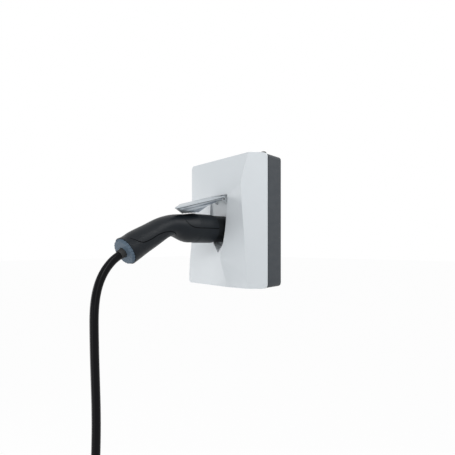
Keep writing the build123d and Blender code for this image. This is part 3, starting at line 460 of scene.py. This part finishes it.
def shell_point(side, point):
    """Just under the shell's surface, met from one side of the plug, or nothing."""
    places, normals = [], []
    for lift in (-seam_radius, seam_radius):
        start = Vector((side * cast_reach, point.y, point.z + lift))
        hits = [nodes[name].ray_cast(start, Vector((-side, 0, 0)))[:3] for name in shell_nodes]
        hits = [(place, normal) for found, place, normal in hits if found]
        if not hits:
            return None
        place, normal = max(hits, key=lambda hit: abs(hit[0].x))
        places.append(place)
        normals.append(normal)
    return (places[0] + places[1]) / 2 - (normals[0] + normals[1]).normalized() * seam_sink


def make_seams():
    """Dark lines in the gaps between the plug's shells: painted shade of the gaps."""
    curve = bpy.data.curves.new("plug_seam_shade", "CURVE")
    curve.dimensions = "3D"
    for shares in (grip_seam, cap_seam):
        line = [
            side_point(0, barrel_end + along * grip_length, plug_rise + up * grip_length)
            for along, up in shares
        ]
        for side in (-1, 1):
            points = [shell_point(side, point) for point in smooth_run(line)]
            add_spline(curve, "POLY", [point for point in points if point is not None])
    curve.bevel_depth = seam_radius
    curve.bevel_resolution = 2
    curve.use_fill_caps = True
    curve.materials.append(materials["seam_painted_shade"])
    seams = add_object("plug_seam_shade", curve)
    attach(seams, "plug")


make_seams()


def background_rays(tree):
    """One for the camera's, glossy and transmitted rays, which see the white background."""
    path = tree.nodes.new("ShaderNodeLightPath")
    seen = path.outputs["Is Camera Ray"]
    for name in ("Is Glossy Ray", "Is Transmission Ray"):
        either = tree.nodes.new("ShaderNodeMath")
        either.operation = "MAXIMUM"
        tree.links.new(seen, either.inputs[0])
        tree.links.new(path.outputs[name], either.inputs[1])
        seen = either.outputs["Value"]
    return seen


def background_white(tree, source, strength_share):
    """Blends a surface with plain white, for the rays that see the background."""
    share = tree.nodes.new("ShaderNodeMath")
    share.operation = "MULTIPLY"
    share.inputs[1].default_value = strength_share
    tree.links.new(background_rays(tree), share.inputs[0])
    white = add_node(tree, "ShaderNodeEmission", Color=plain_white, Strength=1.0)
    mix = tree.nodes.new("ShaderNodeMixShader")
    tree.links.new(share.outputs["Value"], mix.inputs["Fac"])
    tree.links.new(source, mix.inputs[1])
    tree.links.new(white.outputs["Emission"], mix.inputs[2])
    return mix.outputs["Shader"]


def make_floor():
    """A plain pale floor below the connector. It keeps the object's shadow."""
    mesh = bpy.data.meshes.new("floor")
    low = cad_box[0][2] - floor_gap
    signs = ((-1, -1), (1, -1), (1, 1), (-1, 1))
    corners = [(x * floor_size, y * floor_size, low) for x, y in signs]
    mesh.from_pydata(corners, [], [(0, 1, 2, 3)])
    floor = add_object("floor", mesh)
    material, tree, shader = shader_parts("floor_pale")
    shader.inputs["Base Color"].default_value = floor_colour
    shader.inputs["Roughness"].default_value = floor_roughness
    surface = background_white(tree, shader.outputs["BSDF"], floor_whiteness)
    tree.links.new(surface, tree.nodes["Material Output"].inputs["Surface"])
    mesh.materials.append(material)


def make_world():
    """Even studio light, and plain white where the camera sees past the object."""
    world = bpy.data.worlds.new("studio")
    bpy.context.scene.world = world
    world.use_nodes = True
    tree = world.node_tree
    ambient = tree.nodes["Background"]
    ambient.inputs["Color"].default_value = studio_colour
    ambient.inputs["Strength"].default_value = studio_strength
    white = add_node(tree, "ShaderNodeBackground", Color=plain_white, Strength=1.0)
    mix = tree.nodes.new("ShaderNodeMixShader")
    tree.links.new(background_rays(tree), mix.inputs["Fac"])
    tree.links.new(ambient.outputs["Background"], mix.inputs[1])
    tree.links.new(white.outputs["Background"], mix.inputs[2])
    tree.links.new(mix.outputs["Shader"], tree.nodes["World Output"].inputs["Surface"])


def area_light(name, place, aim, size, power):
    """A rectangular lamp that faces its aim."""
    light = bpy.data.lights.new(name, "AREA")
    light.shape = "RECTANGLE"
    light.size, light.size_y = size
    light.energy = power
    lamp = add_object(name, light)
    lamp.location = place
    lamp.rotation_euler = (Vector(aim) - Vector(place)).to_track_quat("-Z", "Y").to_euler()


def make_camera():
    """The photograph's view. The shift puts the horizon where the photograph has it."""
    camera = bpy.data.cameras.new("view")
    camera.lens = camera_lens
    camera.sensor_width = sensor_width
    camera.sensor_fit = "HORIZONTAL"
    camera.shift_y = (horizon_pixel - frame_pixels / 2) / frame_pixels
    camera.clip_start = nearest_seen
    view = add_object("view", camera)
    view.location = camera_place
    view.rotation_euler = (radians(90), 0, radians(camera_turn))
    bpy.context.scene.camera = view


make_floor()
make_world()
for lamp in lamps:
    area_light(*lamp)
make_camera()
bpy.context.scene.view_settings.view_transform = "Standard"
